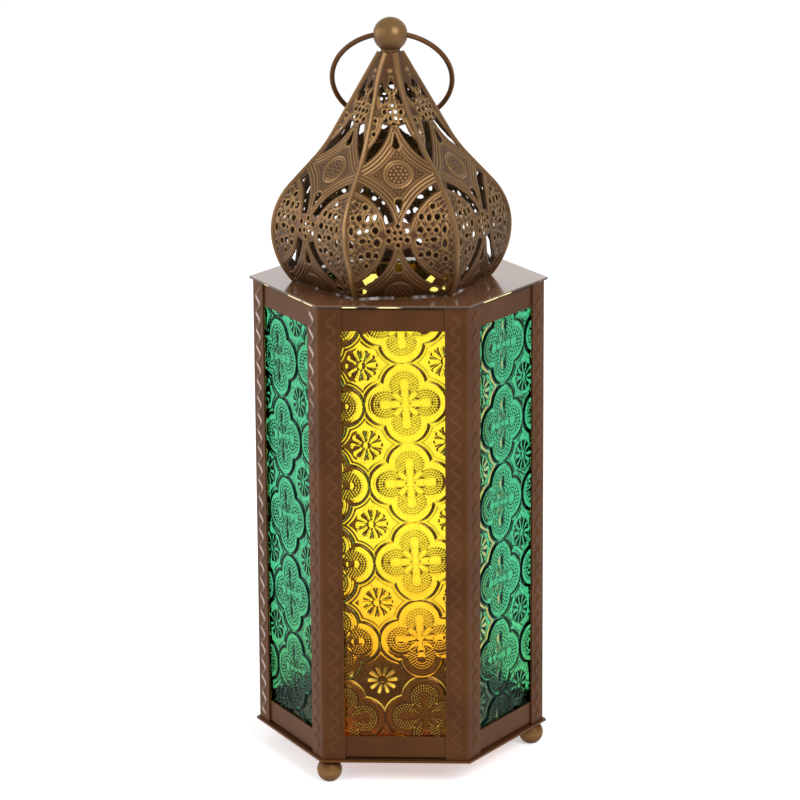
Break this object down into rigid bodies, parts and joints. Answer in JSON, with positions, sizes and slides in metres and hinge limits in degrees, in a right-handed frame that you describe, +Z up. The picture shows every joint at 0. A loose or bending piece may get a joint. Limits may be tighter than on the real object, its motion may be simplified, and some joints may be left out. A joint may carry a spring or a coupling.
{
  "type": "moroccan lantern",
  "caption": "Tall hexagonal candle lantern with coloured pressed-glass sides, a pierced metal onion dome, a ball finial with a swinging carry ring, ball feet and a hinged glazed door.",
  "frame": {"origin": "centre of the footprint, on the surface that the feet stand on", "axes": "+Z up, -Y to the pictured front pane, +X to the picture's right"},
  "size_m": [0.1328, 0.1179, 0.3356],
  "materials": {
    "antique_bronze": "satin",
    "amber_glass": "pressed, clear",
    "teal_glass": "pressed, clear"
  },
  "bodies": {
    "lantern": {"base_plate": "antique_bronze", "foot_right": "antique_bronze", "foot_back_left": "antique_bronze", "foot_front_left": "antique_bronze", "post_right": "antique_bronze", "post_back_right": "antique_bronze", "post_back_left": "antique_bronze", "post_left": "antique_bronze", "post_front_left": "antique_bronze", "post_front_right": "antique_bronze", "bottom_rail_front": "antique_bronze", "bottom_rail_front_right": "antique_bronze", "bottom_rail_back_right": "antique_bronze", "bottom_rail_back_left": "antique_bronze", "bottom_rail_front_left": "antique_bronze", "top_rail_front": "antique_bronze", "top_rail_front_right": "antique_bronze", "top_rail_back_right": "antique_bronze", "top_rail_back_left": "antique_bronze", "top_rail_front_left": "antique_bronze", "glass_front": "amber_glass", "glass_front_right": "teal_glass", "glass_back_right": "teal_glass", "glass_back_left": "teal_glass", "glass_front_left": "teal_glass", "top_plate": "antique_bronze", "petal_front": "antique_bronze", "petal_front_right": "antique_bronze", "petal_back_right": "antique_bronze", "petal_back_left": "antique_bronze", "petal_front_left": "antique_bronze", "petal_back": "antique_bronze", "rib_right": "antique_bronze", "rib_back_right": "antique_bronze", "rib_back_left": "antique_bronze", "rib_left": "antique_bronze", "rib_front_left": "antique_bronze", "rib_front_right": "antique_bronze", "crown_block": "antique_bronze", "finial_nut": "antique_bronze", "finial": "antique_bronze", "candle_cup": "antique_bronze", "lower_hinge_post_leaf": "antique_bronze", "upper_hinge_post_leaf": "antique_bronze"},
    "door": {"door_hinge_stile": "antique_bronze", "door_latch_stile": "antique_bronze", "door_bottom_rail": "antique_bronze", "door_top_rail": "antique_bronze", "door_glass": "amber_glass", "door_knob": "antique_bronze", "door_catch": "antique_bronze", "lower_hinge_door_leaf": "antique_bronze", "upper_hinge_door_leaf": "antique_bronze"},
    "handle": {"carry_ring": "antique_bronze"}
  },
  "joints": [
    {"name": "door_hinge", "type": "hinge", "parent": "lantern", "child": "door", "pos_m": [-0.027, 0.05779, 0], "axis": [0, 0, 1], "range_deg": [0, 115]},
    {"name": "ring_swing", "type": "hinge", "parent": "lantern", "child": "handle", "pos_m": [-0.0026, -0.0036, 0.32806], "axis": [1, 0, 0], "range_deg": [0, 295]}
  ]
}
